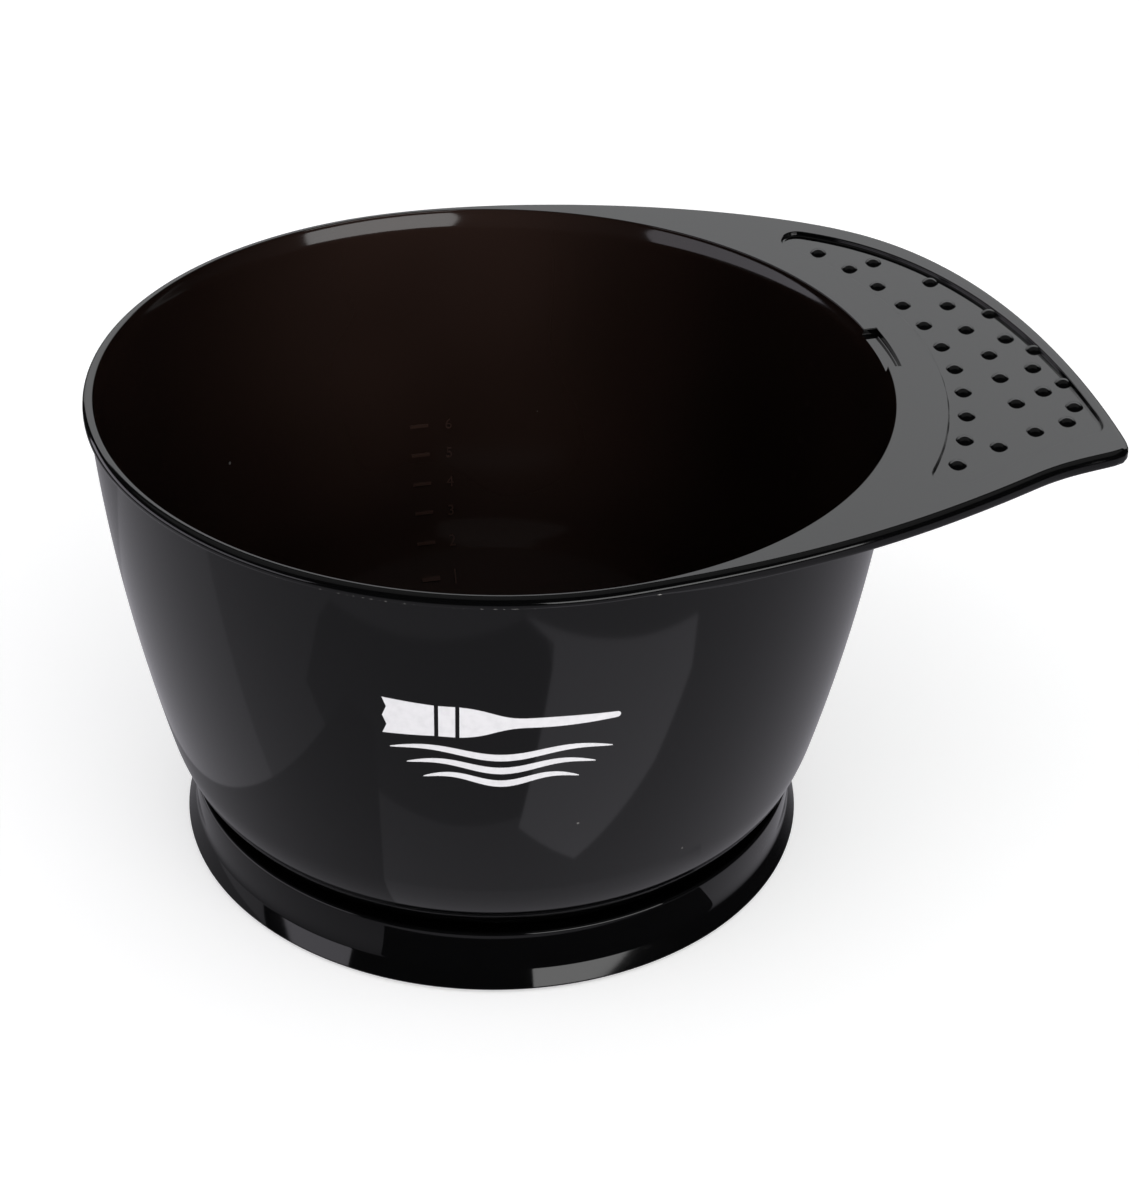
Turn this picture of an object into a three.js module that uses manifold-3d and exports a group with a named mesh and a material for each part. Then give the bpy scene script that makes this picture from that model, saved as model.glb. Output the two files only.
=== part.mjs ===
// A hair colour mixing bowl: a moulded bowl with a flat crescent handle, a press-fit foot ring
// and a rubber ring that keeps the foot from sliding.
// Millimetres, +Z up, the table at z = 0, the handle towards +X and the front of the bowl
// towards -Y. The pieces are drawn about the bowl's axis, and the finished assembly is moved
// so that the origin is the middle of its box at table height.

import * as THREE from 'three';
import { mergeVertices } from 'three/addons/utils/BufferGeometryUtils.js';
import Module from 'manifold-3d';

const wasm = await Module();
wasm.setup();

// ---- driving dimensions -------------------------------------------------------------------

const HEIGHT = 81.4; // table to the top of the rim
const RIM_RADIUS = 64; // outside of the rim bead
const RIM_WIDTH = 1.6;
const BEAD_HEIGHT = 1.5;
const BEAD_STEP = 0.8; // how far the bead stands out from the wall
const LIP_ROUND = 0.4; // rounding of the rim's top edges
const WALL = 1.6;
const TOP_DRAFT = 3; // degrees from vertical, under the bead
const CORNER_DRAFT = 13.5; // degrees from vertical, where the wall meets the corner
const CORNER = { r: 33.5, z: 28, radius: 21.8 }; // outside rounding between wall and floor

const PLATE = 2.2; // thickness of the handle
const PLATE_BEVEL = 0.4;
const RECESS = { arc: 69.9, depth: 0.75, floor: 1.7 }; // arc is the edge that follows the rim
const DOME = { radius: 1.4, height: 0.7 };
const DOME_ROW = { radius: 73.3, first: 40.7, step: -6.04, count: 11 }; // follows the rim
const NOTCH = { from: 4.6, to: 16.4, radius: 64.6, depth: 1 }; // brush notch in the rim

const MARKS = { lowest: 13.8, step: 5.5, count: 6, azimuth: 104.4 }; // volume marks inside
const MARK = { length: 3.4, height: 0.5, proud: 0.35 };

const FIT_GAP = 0.3; // clearance between pieces pressed together
const RIB = { inner: 39.7, outer: 41.5, bottom: 4.2, root: 8.2 }; // locates the foot ring
const FOOT_RADIUS = 52.4;
const LEDGE = { r: 50.9, z: 10.9, round: 0.4 }; // edge of the foot's ledge around the bowl
const FOOT_WALL = 1.8;
const FOOT_FLANGE = { inner: 47.6, bottom: 0.5, top: 3.2 };
const GRIP_RING = { inner: 49, outer: 51.2, height: 1.6 };

const ROUND_STEPS = 56; // facets around the bowl

// ---- materials ----------------------------------------------------------------------------

const glossBlack = new THREE.MeshStandardMaterial({ color: 0x0d0c0e, roughness: 0.12, metalness: 0 });
const footBlack = new THREE.MeshStandardMaterial({ color: 0x0b0b0d, roughness: 0.15, metalness: 0 });
const rubberBlack = new THREE.MeshStandardMaterial({ color: 0x141414, roughness: 0.85, metalness: 0 });

// ---- helpers ------------------------------------------------------------------------------

const radians = THREE.MathUtils.degToRad;
const at = (x, y) => new THREE.Vector2(x, y);

/** A point at a distance from another, in a direction given in degrees. */
function from(point, degrees, distance) {
  const a = radians(degrees);
  return at(point.x + distance * Math.cos(a), point.y + distance * Math.sin(a));
}

/** A point on a circle about the bowl's axis, seen from above. */
const round = (radius, degrees) => from(at(0, 0), degrees, radius);

/** A closed geometry as a manifold-3d solid. */
function solid(geometry) {
  geometry.deleteAttribute('normal');
  geometry.deleteAttribute('uv');
  const merged = mergeVertices(geometry, 1e-4);
  const index = merged.index.array;
  const triangles = [];
  for (let i = 0; i < index.length; i += 3) {
    const [a, b, c] = index.slice(i, i + 3);
    if (a !== b && b !== c && c !== a) triangles.push(a, b, c);
  }
  return new wasm.Manifold(
    new wasm.Mesh({
      numProp: 3,
      vertProperties: new Float32Array(merged.attributes.position.array),
      triVerts: new Uint32Array(triangles),
    }),
  );
}

/** A named mesh made from a manifold-3d solid. */
function piece(name, manifold, material) {
  const { vertProperties, triVerts } = manifold.getMesh();
  const geometry = new THREE.BufferGeometry();
  geometry.setAttribute('position', new THREE.Float32BufferAttribute(vertProperties, 3));
  geometry.setIndex(new THREE.Uint32BufferAttribute(triVerts, 1));
  geometry.computeVertexNormals();
  const mesh = new THREE.Mesh(geometry, material);
  mesh.name = name;
  return mesh;
}

/** A profile of (radius, height) points turned about the bowl's axis. */
function turned(profile) {
  return solid(new THREE.LatheGeometry(profile, ROUND_STEPS).rotateX(Math.PI / 2));
}

/** A profile that closes on itself, turned into a ring. */
function turnedRing(profile) {
  return turned([...profile, profile[0]]);
}

/** A flat outline made into a plate whose top face is at a given height. */
function plate(shape, top, thickness, bevel = 0) {
  const geometry = new THREE.ExtrudeGeometry(shape, {
    depth: thickness - 2 * bevel,
    curveSegments: 12,
    bevelEnabled: bevel > 0,
    bevelThickness: bevel,
    bevelSize: bevel,
    bevelOffset: -bevel,
    bevelSegments: 1,
  });
  return solid(geometry.translate(0, 0, top - thickness + bevel));
}

// ---- the vessel ---------------------------------------------------------------------------

/** A point of the corner rounding: degrees from horizontal, grown outwards by a distance. */
function cornerPoint(degrees, grow) {
  return from(at(CORNER.r, CORNER.z), -degrees, CORNER.radius + grow);
}

/** The corner rounding between two angles. */
function cornerArc(first, last, grow, steps) {
  const points = [];
  for (let i = 0; i <= steps; i += 1) {
    points.push(cornerPoint(first + ((last - first) * i) / steps, grow));
  }
  return points;
}

/** The angle at which the corner rounding passes a given radius from the bowl's axis. */
function cornerAngle(radius, grow) {
  return THREE.MathUtils.radToDeg(Math.acos((radius - CORNER.r) / (CORNER.radius + grow)));
}

/** The wall from under the bead down to the corner, grown outwards by a distance. */
function wallCurve(grow) {
  const top = at(RIM_RADIUS - BEAD_STEP + grow, HEIGHT - BEAD_HEIGHT);
  const bottom = cornerPoint(CORNER_DRAFT, grow);
  const pull = (top.y - bottom.y) / 3;
  const curve = new THREE.CubicBezierCurve(
    top,
    from(top, 270 - TOP_DRAFT, pull),
    from(bottom, 90 - CORNER_DRAFT, pull),
    bottom,
  );
  return curve.getPoints(7);
}

/** The bowl's section: floor underside, wall, bead, and back down the inside to the axis. */
function vesselProfile() {
  const floor = CORNER.z - CORNER.radius;
  const lip = RIM_RADIUS - RIM_WIDTH;
  return [
    at(0, floor),
    ...cornerArc(90, CORNER_DRAFT, 0, 10),
    ...wallCurve(0).reverse().slice(1),
    at(RIM_RADIUS, HEIGHT - BEAD_HEIGHT),
    at(RIM_RADIUS, HEIGHT - LIP_ROUND),
    at(RIM_RADIUS - LIP_ROUND, HEIGHT),
    at(lip + LIP_ROUND, HEIGHT),
    at(lip, HEIGHT - LIP_ROUND),
    ...wallCurve(-WALL),
    ...cornerArc(CORNER_DRAFT, 90, -WALL, 9).slice(1),
    at(0, floor + WALL),
  ];
}

/** Raised marks inside the wall, one for each step of volume. */
function volumeMarks() {
  const inner = wallCurve(-WALL).reverse();
  const corner = cornerArc(90, CORNER_DRAFT, -WALL, 24);
  const section = new THREE.SplineCurve([...corner, ...inner.slice(1)]).getPoints(400);
  const marks = [];
  for (let i = 0; i < MARKS.count; i += 1) {
    const z = MARKS.lowest + i * MARKS.step;
    const wall = section.find((point) => point.y >= z).x;
    const depth = MARK.proud + WALL / 2;
    const box = new THREE.BoxGeometry(depth, MARK.length, MARK.height);
    box.translate(wall - MARK.proud + depth / 2, 0, z);
    marks.push(solid(box.rotateZ(radians(MARKS.azimuth))));
  }
  return marks;
}

// ---- the handle ---------------------------------------------------------------------------

/** Outline of the crescent handle, from the front of the rim round the tip to the back. */
function handleShape() {
  const front = -72.3; // degrees around the rim, where the handle's edges leave it
  const back = 109.9;
  const inside = RIM_RADIUS - RIM_WIDTH / 2;
  const shape = new THREE.Shape();
  const curve = (c1, c2, end) => shape.bezierCurveTo(c1.x, c1.y, c2.x, c2.y, end.x, end.y);
  const start = round(RIM_RADIUS, front);
  const frontMiddle = at(80.5, -29.3);
  const frontEnd = at(93.8, -22.2);
  const tip = at(95.45, -13.5);
  const shoulder = at(63.3, 55.15);
  const end = round(RIM_RADIUS, back);
  shape.moveTo(start.x, start.y);
  curve(from(start, front + 90, 25.9), from(frontMiddle, 216.8, 24.8), frontMiddle);
  curve(from(frontMiddle, 36.8, 6.8), from(frontEnd, 206, 4), frontEnd);
  curve(from(frontEnd, 26, 3), from(tip, -82.7, 5), tip);
  curve(from(tip, 97.3, 20.9), from(shoulder, -31.4, 25.3), shoulder);
  curve(from(shoulder, 148.6, 21.5), from(end, back - 90, 27.9), end);
  shape.absarc(0, 0, inside, radians(back), radians(front), true);
  shape.closePath();
  return shape;
}

/** Outline of the recessed grip panel on the handle. */
function recessShape() {
  const shape = new THREE.Shape();
  const first = round(RECESS.arc, -23.5);
  const last = round(RECESS.arc, 45);
  shape.moveTo(first.x, first.y);
  shape.absarc(0, 0, RECESS.arc, radians(-23.5), radians(45), false);
  shape.bezierCurveTo(last.x - 1.6, last.y + 1.6, 49.4, 55.3, 53, 54.2);
  shape.bezierCurveTo(76.8, 46.5, 87.6, 16.5, 92.4, -8);
  shape.bezierCurveTo(93.9, -14, 94, -15.4, 90, -17.2);
  shape.bezierCurveTo(84, -19.6, 77.5, -26, 70.5, -31.2);
  shape.bezierCurveTo(67.2, -33, 63.6, -32.4, first.x, first.y);
  return shape;
}

/** Where the grip domes stand: one row along the rim, two freer rows outside it. */
function domePlaces() {
  const inner = [];
  for (let i = 0; i < DOME_ROW.count; i += 1) {
    inner.push(round(DOME_ROW.radius, DOME_ROW.first + i * DOME_ROW.step));
  }
  const middle = [at(75.2, 28.2), at(77, 19.5), at(79.4, 10.7), at(79.9, 2.9), at(81.1, -5.4)];
  const outer = [at(64.7, 44.2), at(73.5, 36.8), at(81.8, 25.3), at(87, 12.5), at(89.7, 1.3), at(90, -6.4)];
  const between = [at(83, 16.4), at(85.7, 6.3), at(86, -1.5)];
  const frontEdge = [at(88, -11.2), at(82.5, -14.3), at(76.1, -19.1)];
  return [...inner, ...middle, ...outer, ...between, ...frontEdge];
}

function dome(place) {
  const ball = new THREE.SphereGeometry(DOME.radius, 10, 6).rotateX(Math.PI / 2);
  ball.scale(1, 1, DOME.height / DOME.radius);
  return solid(ball.translate(place.x, place.y, HEIGHT - RECESS.depth));
}

/** The notch in the rim's inner edge, as the solid that is cut away. */
function notchCutter() {
  const shape = new THREE.Shape();
  const inside = RIM_RADIUS - RIM_WIDTH - 2 * WALL;
  shape.absarc(0, 0, NOTCH.radius, radians(NOTCH.from), radians(NOTCH.to), false);
  shape.absarc(0, 0, inside, radians(NOTCH.to), radians(NOTCH.from), true);
  return plate(shape, HEIGHT + 1, NOTCH.depth + 1);
}

// ---- pieces -------------------------------------------------------------------------------

function bowl() {
  const rib = turnedRing([
    at(RIB.inner, RIB.bottom),
    at(RIB.outer, RIB.bottom),
    at(RIB.outer, RIB.root),
    at(RIB.inner, RIB.root),
  ]);
  const underside = HEIGHT - PLATE;
  const padDepth = RECESS.depth + RECESS.floor - PLATE;
  let body = turned(vesselProfile()).add(rib);
  body = body.add(plate(handleShape(), HEIGHT, PLATE, PLATE_BEVEL));
  body = body.add(plate(recessShape(), underside + PLATE / 4, padDepth + PLATE / 4));
  body = body.subtract(plate(recessShape(), HEIGHT + 1, RECESS.depth + 1));
  for (const place of domePlaces()) body = body.add(dome(place));
  for (const mark of volumeMarks()) body = body.add(mark);
  return piece('bowl', body.subtract(notchCutter()), glossBlack);
}

function footRing() {
  const inside = LEDGE.r - FOOT_WALL;
  const collar = RIB.outer + FIT_GAP;
  const webGrow = FIT_GAP + FOOT_WALL;
  const ledgeInner = cornerPoint(cornerAngle(47.6, FIT_GAP), FIT_GAP);
  const groove = { inner: GRIP_RING.inner - FIT_GAP, outer: GRIP_RING.outer + FIT_GAP };
  const grooveTop = GRIP_RING.height + FIT_GAP;
  const skirt = new THREE.CubicBezierCurve(
    at(FOOT_RADIUS, FOOT_FLANGE.bottom),
    at(FOOT_RADIUS - 1, FOOT_FLANGE.bottom + 2.4),
    at(LEDGE.r + 0.1, LEDGE.z - 5.6),
    at(LEDGE.r, LEDGE.z - LEDGE.round),
  );
  return piece(
    'foot_ring',
    turnedRing([
      ...skirt.getPoints(5),
      at(LEDGE.r - LEDGE.round, LEDGE.z),
      ...cornerArc(cornerAngle(ledgeInner.x, FIT_GAP), cornerAngle(collar, FIT_GAP), FIT_GAP, 4),
      at(collar, RIB.bottom),
      at(collar + FOOT_WALL, RIB.bottom),
      ...cornerArc(cornerAngle(collar + FOOT_WALL, webGrow), cornerAngle(inside, webGrow), webGrow, 3),
      at(inside, FOOT_FLANGE.top),
      at(FOOT_FLANGE.inner, FOOT_FLANGE.top),
      at(FOOT_FLANGE.inner, FOOT_FLANGE.bottom),
      at(groove.inner, FOOT_FLANGE.bottom),
      at(groove.inner, grooveTop),
      at(groove.outer, grooveTop),
      at(groove.outer, FOOT_FLANGE.bottom),
    ]),
    footBlack,
  );
}

function gripRing() {
  const profile = [
    at(GRIP_RING.inner, 0),
    at(GRIP_RING.outer, 0),
    at(GRIP_RING.outer, GRIP_RING.height),
    at(GRIP_RING.inner, GRIP_RING.height),
  ];
  return piece('rubber_grip_ring', turnedRing(profile), rubberBlack);
}

// ---- assembly -----------------------------------------------------------------------------

const assembly = new THREE.Group();
assembly.add(bowl(), footRing(), gripRing());
const middle = new THREE.Box3().setFromObject(assembly).getCenter(new THREE.Vector3());
assembly.position.set(-middle.x, -middle.y, 0);
assembly.updateMatrixWorld(true);

export default assembly;
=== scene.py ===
"""A hair colour mixing bowl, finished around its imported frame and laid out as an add-on.

Sizes are in metres in the frame's own coordinates: +Z up, the handle towards +X, the front
towards -Y. The bowl is round about an upright axis that stands a little to the left of the
origin, and every outline below is drawn about that axis.
"""

import math

import bpy
import numpy as np
from bpy.props import FloatProperty, FloatVectorProperty, IntProperty, PointerProperty
from mathutils import Matrix, Vector


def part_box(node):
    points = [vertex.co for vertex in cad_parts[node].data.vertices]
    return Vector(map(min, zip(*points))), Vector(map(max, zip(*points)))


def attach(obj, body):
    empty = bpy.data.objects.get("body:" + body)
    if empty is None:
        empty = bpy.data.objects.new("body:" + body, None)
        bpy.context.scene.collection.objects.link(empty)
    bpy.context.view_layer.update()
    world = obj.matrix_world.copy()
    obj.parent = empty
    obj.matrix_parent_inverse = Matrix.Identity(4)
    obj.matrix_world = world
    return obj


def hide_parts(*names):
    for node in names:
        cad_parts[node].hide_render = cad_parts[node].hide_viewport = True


bl_info = {
    "name": "Hair Colour Bowl",
    "version": (1, 0, 0),
    "blender": (4, 5, 0),
    "location": "3D View > Sidebar > Colour Bowl",
    "description": "Builds a gloss black mixing bowl with a crescent handle and its studio",
    "category": "Add Mesh",
}

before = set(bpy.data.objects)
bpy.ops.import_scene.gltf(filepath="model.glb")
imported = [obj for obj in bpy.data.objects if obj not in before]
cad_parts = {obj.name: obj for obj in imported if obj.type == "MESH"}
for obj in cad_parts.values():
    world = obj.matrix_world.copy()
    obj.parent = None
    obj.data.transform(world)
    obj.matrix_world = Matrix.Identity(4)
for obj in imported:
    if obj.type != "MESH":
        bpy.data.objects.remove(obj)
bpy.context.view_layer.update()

MM = 0.001
FOOT_LOW, FOOT_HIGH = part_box("foot_ring")
GRIP_LOW, GRIP_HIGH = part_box("rubber_grip_ring")
BOWL_LOW, BOWL_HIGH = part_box("bowl")
AXIS = Vector(((FOOT_LOW.x + FOOT_HIGH.x) / 2, (FOOT_LOW.y + FOOT_HIGH.y) / 2, 0))
HEIGHT = BOWL_HIGH.z
RIM_RADIUS = AXIS.x - BOWL_LOW.x
FOOT_RADIUS = (FOOT_HIGH.x - FOOT_LOW.x) / 2
GRIP_INNER = 49 * MM  # inside radius of the rubber ring
GRIP_OUTER = (GRIP_HIGH.x - GRIP_LOW.x) / 2
MERGE = MM / 1000  # points nearer than this are one point
BODY_DEPTH = 24 * MM  # how deep marks and figures are before the wall's skin trims them


# ---- sizes, colours and light that a user would change --------------------------------------


def length(name, description, default):
    """A length property, with its default in millimetres."""
    return FloatProperty(name=name, description=description, default=default * MM, unit="LENGTH")


def angle(name, description, default):
    """An angle property, with its default in degrees."""
    return FloatProperty(
        name=name, description=description, default=math.radians(default), subtype="ANGLE"
    )


def amount(name, description, default, subtype="NONE"):
    """A plain number."""
    return FloatProperty(name=name, description=description, default=default, subtype=subtype)


def colour(name, description, default):
    """A colour property, linear red, green and blue."""
    return FloatVectorProperty(
        name=name, description=description, default=default, size=3, subtype="COLOR", min=0, max=1
    )


class VesselSizes(bpy.types.PropertyGroup):
    wall: length("Wall", "Thickness of the bowl's wall", 1.6)
    bead_height: length("Bead height", "Height of the bead round the rim", 1.5)
    bead_step: length("Bead step", "How far the bead stands out from the wall", 0.8)
    edge_across: length("Edge width", "Width of the rounding of the top outer edge", 1.25)
    edge_down: length("Edge drop", "Height of the rounding of the top outer edge", 0.9)
    lower_round: length("Lower rounding", "Radius of the rim's and handle's lower edge", 0.3)
    lip_width: length("Lip width", "Width of the rim seen from above", 1.6)
    lip_round: length("Lip rounding", "Radius of the rim's inner edge", 0.18)
    flare: length("Flare", "Height of the flare inside the rim", 3.0)
    top_draft: angle("Top draft", "Slope of the wall under the bead", 3)
    corner_draft: angle("Corner draft", "Slope of the wall where the corner begins", 13.5)
    corner_reach: length("Corner reach", "Distance of the corner's centre from the axis", 33.5)
    corner_height: length("Corner height", "Height of the corner's centre", 28)
    corner_radius: length("Corner radius", "Outside radius of the corner", 21.8)
    corner_fullness: length("Corner fullness", "How far the corner swells under the wall", 0.9)
    rib_inner: length("Rib inside", "Inside radius of the rib that holds the foot", 39.7)
    rib_outer: length("Rib outside", "Outside radius of the rib that holds the foot", 41.5)
    rib_round: length("Rib rounding", "Radius of the rib's lower edges", 0.4)
    turns: IntProperty(name="Steps", description="Steps round the bowl", default=480)


class HandleSizes(bpy.types.PropertyGroup):
    plate: length("Plate", "Thickness of the handle", 2.2)
    swell: angle("Swell", "Stretch of rim over which the bead thickens into the plate", 12)
    recess_arc: length("Recess arc", "Radius of the recess edge that follows the rim", 69.9)
    recess_depth: length("Recess depth", "Depth of the grip recess", 0.75)
    recess_floor: length("Recess floor", "Thickness of material under the recess", 1.7)
    recess_round: length("Recess edge", "Radius of the recess's top edge", 0.3)
    recess_fillet: length("Recess fillet", "Radius along the foot of the recess wall", 0.4)
    pad_margin: length("Pad margin", "How far the pad below reaches past the recess", 1.0)
    dome_radius: length("Dome radius", "Radius of a grip dome at its foot", 1.4)
    dome_height: length("Dome height", "Height of a grip dome", 0.74)
    dome_row: length("Dome row", "Radius of the row of domes that follows the rim", 73.3)
    notch_reach: length("Notch reach", "How far from the axis the brush notch is cut", 64.6)
    notch_depth: length("Notch depth", "Depth of the brush notch", 1.0)
    notch_from: angle("Notch start", "Where the brush notch starts round the rim", 4.6)
    notch_to: angle("Notch end", "Where the brush notch ends round the rim", 16.4)


class ScaleSizes(bpy.types.PropertyGroup):
    count: IntProperty(name="Marks", description="Number of volume marks", default=6)
    lowest: length("Lowest mark", "Height of the lowest volume mark", 13.8)
    step: length("Mark step", "Height from one volume mark to the next", 5.5)
    mark_length: length("Mark length", "Length of a volume mark", 3.4)
    mark_height: length("Mark height", "Height of a volume mark", 0.5)
    figure_height: length("Figure height", "Height of a volume figure", 2.0)
    proud: length("Relief", "How far marks and figures stand out of the wall", 0.3)
    mark_place: angle("Mark place", "Where the marks stand round the bowl", 104.4)
    figure_place: angle("Figure place", "Where the figures stand round the bowl", 98.9)


class FootSizes(bpy.types.PropertyGroup):
    ledge_radius: length("Ledge radius", "Outside radius of the ledge round the bowl", 50.9)
    ledge_height: length("Ledge height", "Height of the ledge's outer edge", 10.9)
    ledge_round: length("Ledge rounding", "Radius of the ledge's outer edge", 0.45)
    ledge_inner: length("Ledge inside", "Radius where the ledge meets the bowl", 47.6)
    wall: length("Foot wall", "Thickness of the foot", 1.8)
    gap: length("Fit gap", "Clearance between pieces pressed together", 0.3)
    toe: length("Toe rounding", "Radius of the foot's lower outer edge", 0.4)
    flare_slope: angle("Flare slope", "How far the foot's lowest part leans out", 25)
    flare_length: length("Flare length", "Length of the foot's lowest part", 3.0)
    flange_inner: length("Flange inside", "Inside radius of the foot's flange", 47.6)
    flange_top: length("Flange top", "Height of the flange's upper side", 3.2)
    grip_round: length("Rubber rounding", "Radius of the rubber ring's edges", 0.35)
    turns: IntProperty(name="Steps", description="Steps round the foot", default=320)


class PrintSizes(bpy.types.PropertyGroup):
    across: length("Place across", "How far right of the front the printed mark is centred", 1.2)
    up: length("Place up", "Height of the middle of the printed mark", 54.5)
    thickness: length("Ink thickness", "Thickness of the printed ink", 0.03)
    brush_length: length("Brush length", "Length of the printed brush", 34)
    strand: length("Strand width", "Width of a printed strand of hair", 1.3)


class Finish(bpy.types.PropertyGroup):
    black: colour("Black", "Colour of the gloss plastic", (0.0011, 0.0011, 0.0012))
    # painted glow: the brown of the light that comes through the wall from behind, painted into the
    # inside's colour
    painted_glow_brown: colour("Smoke", "Brown that shows inside the bowl", (0.0150, 0.0084, 0.0066))
    ink: colour("Ink", "Colour of the printed mark", (0.70, 0.69, 0.71))
    rubber: colour("Rubber", "Colour of the rubber ring", (0.012, 0.012, 0.012))
    dust: colour("Dust", "Colour of dust and rubbed edges", (0.30, 0.29, 0.28))
    gloss: amount("Gloss", "Roughness of the polished plastic", 0.07, "FACTOR")


class Studio(bpy.types.PropertyGroup):
    focal: length("Focal length", "Focal length of the camera", 79.41)
    roll: angle("Camera roll", "Turn of the camera about its line of sight", 1.634)
    backdrop_low: amount("Backdrop low", "Glow of the backdrop at the table", 0.38)
    backdrop_high: amount("Backdrop high", "Glow of the backdrop one metre up", 1.54)
    key: amount("Key", "Glow of the softbox at the front", 3.4)
    side: amount("Side", "Glow of the screen at the left", 1.5)
    ceiling: amount("Ceiling", "Glow of the ceiling", 0.2)
    table: amount("Table", "Glow that the table gives back", 0.34)
    floor: amount("Floor", "Glow of the floor, on top of the light it gets", 0.38)


# ---- small tools ----------------------------------------------------------------------------


def settings(name):
    return getattr(bpy.context.scene, name)


def polar(start, degrees, distance):
    """A point at a distance from another, in a direction given in degrees."""
    a = math.radians(degrees)
    return (start[0] + distance * math.cos(a), start[1] + distance * math.sin(a))


def arc(centre, radius, first, last, steps):
    """Points along an arc, with its angles in degrees."""
    return [polar(centre, first + (last - first) * i / steps, radius) for i in range(steps + 1)]


def bezier(a, b, c, d, steps):
    """Points along a cubic curve."""
    t = np.linspace(0, 1, steps + 1)[:, None]
    points = [np.array(p, float) for p in (a, b, c, d)]
    weights = ((1 - t) ** 3, 3 * (1 - t) ** 2 * t, 3 * (1 - t) * t**2, t**3)
    return [tuple(p) for p in sum(w * p for w, p in zip(weights, points))]


def smoothstep(t):
    t = np.clip(t, 0, 1)
    return t * t * (3 - 2 * t)


def select_only(piece):
    """Leaves this piece alone selected and active."""
    bpy.ops.object.select_all(action="DESELECT")
    piece.select_set(True)
    bpy.context.view_layer.objects.active = piece


def edit(piece):
    """Opens the piece for editing, with all of it selected."""
    select_only(piece)
    bpy.ops.object.mode_set(mode="EDIT")
    bpy.ops.mesh.select_mode(type="VERT")
    bpy.ops.mesh.select_all(action="SELECT")


def done():
    bpy.ops.object.mode_set(mode="OBJECT")


def closed(merge=MERGE):
    """Merges points that meet, turns the faces outwards and ends editing."""
    bpy.ops.mesh.select_all(action="SELECT")
    bpy.ops.mesh.remove_doubles(threshold=merge)
    bpy.ops.mesh.normals_make_consistent(inside=False)
    done()


def loop(name, points, filled):
    """A ring of vertices on the given points, from a circle whose vertices are moved there."""
    fill = "NGON" if filled else "NOTHING"
    bpy.ops.mesh.primitive_circle_add(vertices=len(points), radius=1, fill_type=fill)
    piece = bpy.context.object
    piece.name = piece.data.name = name
    flat = np.array([tuple(p) for p in points], np.float32)
    piece.data.vertices.foreach_set("co", flat.ravel())
    piece.data.update()
    return piece


def turned(name, section, turns, open_ends=False):
    """A section of (radius, height) points spun about the bowl's axis."""
    piece = loop(name, [(AXIS.x + r, AXIS.y, z) for r, z in section], filled=False)
    if open_ends:  # the section starts and ends on the axis, so the edge between is cut
        for edge in piece.data.edges:
            edge.select = set(edge.vertices) == {0, len(section) - 1}
        for vertex in piece.data.vertices:
            vertex.select = vertex.index in (0, len(section) - 1)
        select_only(piece)
        bpy.ops.object.mode_set(mode="EDIT")
        bpy.ops.mesh.select_mode(type="EDGE")
        bpy.ops.mesh.delete(type="EDGE")
        done()
    edit(piece)
    bpy.ops.mesh.spin(steps=turns // 16, angle=math.tau / 16, center=AXIS, axis=(0, 0, 1))
    for part in (16, 8, 4, 2):  # one sixteenth is copied round until the turn is full
        bpy.ops.mesh.select_all(action="SELECT")
        bpy.ops.mesh.duplicate()
        bpy.ops.transform.rotate(value=math.tau / part, orient_axis="Z", center_override=AXIS)
    closed(2 * MERGE)
    return piece


def prism(name, outline, top, rows):
    """An outline seen from above made into a solid.

    The outline lies at the height top, and each row (inset, height) below it is the outline
    drawn in by that much. Rows go down.
    """
    piece = loop(name, [(AXIS.x + x, AXIS.y + y, top) for x, y in outline], filled=True)
    edit(piece)
    bpy.ops.mesh.select_mode(type="FACE")
    bpy.ops.mesh.extrude_region_move(TRANSFORM_OT_translate={"value": (0, 0, rows[0][1] - top)})
    done()
    lowest = min(piece.data.polygons, key=lambda face: face.center.z)
    index = lowest.index
    edit(piece)
    bpy.ops.mesh.normals_make_consistent(inside=False)
    bpy.ops.mesh.select_mode(type="FACE")
    bpy.ops.mesh.select_all(action="DESELECT")
    done()
    piece.data.polygons[index].select = True
    bpy.ops.object.mode_set(mode="EDIT")
    for (drawn, height), (next_drawn, next_height) in zip(rows, rows[1:]):
        bpy.ops.mesh.inset(thickness=next_drawn - drawn, depth=height - next_height)
    closed()
    return piece


def combine(piece, other, operation):
    """Joins, cuts or intersects piece with other, which is used up."""
    select_only(piece)
    modifier = piece.modifiers.new("combine", "BOOLEAN")
    modifier.operation = operation
    modifier.solver = "MANIFOLD"
    modifier.object = other
    bpy.ops.object.modifier_apply(modifier=modifier.name)
    bpy.data.objects.remove(other, do_unlink=True)


def joined(name, parts):
    """Several pieces as one object."""
    bpy.ops.object.select_all(action="DESELECT")
    for part in parts:
        part.select_set(True)
    bpy.context.view_layer.objects.active = parts[0]
    bpy.ops.object.join()
    piece = bpy.context.object
    piece.name = piece.data.name = name
    return piece


def place_applied(piece):
    """Works the piece's place, turn and scale into its mesh."""
    select_only(piece)
    bpy.ops.object.transform_apply(location=True, rotation=True, scale=True)


def smooth(piece):
    """Smooth shading that keeps creases over 32 degrees sharp and large flats flat."""
    select_only(piece)
    bpy.ops.object.shade_smooth_by_angle(angle=math.radians(32))
    modifier = piece.modifiers.new("even_shading", "WEIGHTED_NORMAL")
    modifier.keep_sharp = True
    modifier.weight = 100
    bpy.ops.object.modifier_apply(modifier=modifier.name)


def finished(piece, materials, replaces=None):
    smooth(piece)
    piece.data.materials.clear()
    for material in materials:
        piece.data.materials.append(material)
    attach(piece, "root")
    if replaces:
        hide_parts(replaces)


# ---- the bowl's lines -----------------------------------------------------------------------


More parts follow.
